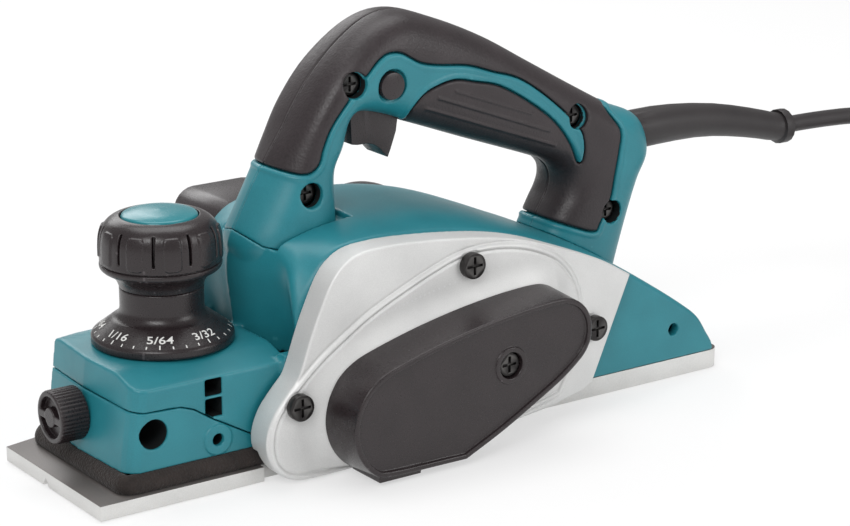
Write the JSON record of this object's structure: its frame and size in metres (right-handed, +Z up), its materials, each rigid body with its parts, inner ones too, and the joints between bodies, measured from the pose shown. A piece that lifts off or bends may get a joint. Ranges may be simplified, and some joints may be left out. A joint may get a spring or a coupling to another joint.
{
  "type": "hand-held power planer",
  "caption": "Electric hand planer with a D-shaped handle, a belt-driven cutter drum between two sole plates, a turning depth knob and a mains cord.",
  "frame": {"origin": "on the rear sole's face, half way along the two sole plates and in the middle of their width", "axes": "+X to the rear along the sole, +Z up from the sole, -Y to the drive belt's side"},
  "size_m": [0.527, 0.19, 0.1563],
  "materials": {
    "teal_plastic": "moulded plastic with a fine satin texture",
    "dark_plastic": "moulded dark plastic",
    "rubber_skin": "pebbled soft rubber",
    "silver_casting": "silver paint on an aluminium casting",
    "machined_base": "milled sole with a grey top",
    "turned_steel": "turned steel",
    "black_steel": "blackened steel",
    "foam": "dark foam",
    "copper_wire": "enamelled copper",
    "carbon": "pressed carbon",
    "belt_rubber": "ribbed belt",
    "cord_sheath": "smooth cord sheath",
    "core_iron": "stacked iron sheet"
  },
  "bodies": {
    "casing": {"rear_base": "machined_base", "base_screws": "turned_steel", "foot_pin": "turned_steel", "foot_spring": "turned_steel", "dust_seal": "foam", "front_lower_housing": "teal_plastic", "main_housing": "teal_plastic", "motor_end_cover": "dark_plastic", "chip_spout": "dark_plastic", "side_plate": "silver_casting", "side_plate_screws": "black_steel", "belt_cover": "dark_plastic", "belt_cover_screw": "black_steel", "depth_spring": "turned_steel", "drum_bearings": "turned_steel", "drive_belt": "belt_rubber", "motor_bearings": "turned_steel", "stator": "core_iron", "field_coils": "copper_wire", "brush_holders": "turned_steel", "carbon_brushes": "carbon", "brush_caps": "dark_plastic", "handle_left": "teal_plastic", "handle_right": "teal_plastic", "grip_left": "rubber_skin", "grip_right": "rubber_skin", "handle_screws": "black_steel", "switch_body": "dark_plastic", "trigger_pin": "turned_steel", "button_spring": "turned_steel", "cord_guard": "cord_sheath", "inner_lead": "cord_sheath", "cord_clamp": "turned_steel", "cord": "cord_sheath", "cord_coil": "cord_sheath", "coil_tie": "rubber_skin", "plug": "cord_sheath"},
    "front_shoe": {"front_base": "machined_base", "guide_pins": "turned_steel"},
    "depth_knob": {"depth_screw": "turned_steel", "retaining_ring": "turned_steel", "dial_ring": "dark_plastic", "knob_grip": "dark_plastic", "knob_cap": "teal_plastic"},
    "clamp_knob": {"clamp_screw": "dark_plastic"},
    "cutter": {"drum": "machined_base", "drum_shaft": "turned_steel", "blades": "turned_steel", "blade_clamps": "turned_steel", "blade_bolts": "black_steel", "drum_pulley": "turned_steel"},
    "armature": {"motor_pulley": "turned_steel", "motor_shaft": "turned_steel", "armature_core": "core_iron", "armature_windings": "copper_wire", "commutator": "copper_wire", "fan": "dark_plastic"},
    "stand": {"foot": "dark_plastic"},
    "trigger_lever": {"trigger": "dark_plastic"},
    "lock": {"lock_button": "dark_plastic"}
  },
  "joints": [
    {"name": "depth_turn", "type": "hinge", "parent": "casing", "child": "depth_knob", "pos_m": [-0.093, 0, 0.046], "axis": [0, 0, 1], "range_deg": [-270, 0]},
    {"name": "front_shoe_slide", "type": "slide", "parent": "casing", "child": "front_shoe", "axis": [0, 0, 1], "range_m": [0, 0.00238], "deforming": ["dust_seal", "depth_spring"]},
    {"name": "clamp_turn", "type": "hinge", "parent": "casing", "child": "clamp_knob", "pos_m": [-0.134, 0, 0.0255], "axis": [-1, 0, 0], "range_deg": [-360, 0]},
    {"name": "drum_spin", "type": "hinge", "parent": "casing", "child": "cutter", "pos_m": [-0.0325, 0, 0.024], "axis": [0, 1, 0], "continuous": true},
    {"name": "armature_spin", "type": "hinge", "parent": "casing", "child": "armature", "pos_m": [0.033, 0, 0.0395], "axis": [0, 1, 0], "continuous": true},
    {"name": "foot_swing", "type": "hinge", "parent": "casing", "child": "stand", "pos_m": [0.121, 0, 0.011], "axis": [0, 1, 0], "range_deg": [0, 50]},
    {"name": "trigger_pull", "type": "hinge", "parent": "casing", "child": "trigger_lever", "pos_m": [-0.0115, 0, 0.125], "axis": [0, -1, 0], "range_deg": [0, 12], "stiffness_Nm_per_rad": 0.6, "springref_deg": -5.73},
    {"name": "lock_press", "type": "slide", "parent": "casing", "child": "lock", "axis": [0, 1, 0], "range_m": [0, 0.003], "stiffness_N_per_m": 800, "springref_m": -0.001}
  ],
  "couplings": [
    {"joint": "depth_turn", "follows": "front_shoe_slide", "rad_per_m": -1979},
    {"joint": "armature_spin", "follows": "drum_spin", "ratio": 1.45}
  ]
}
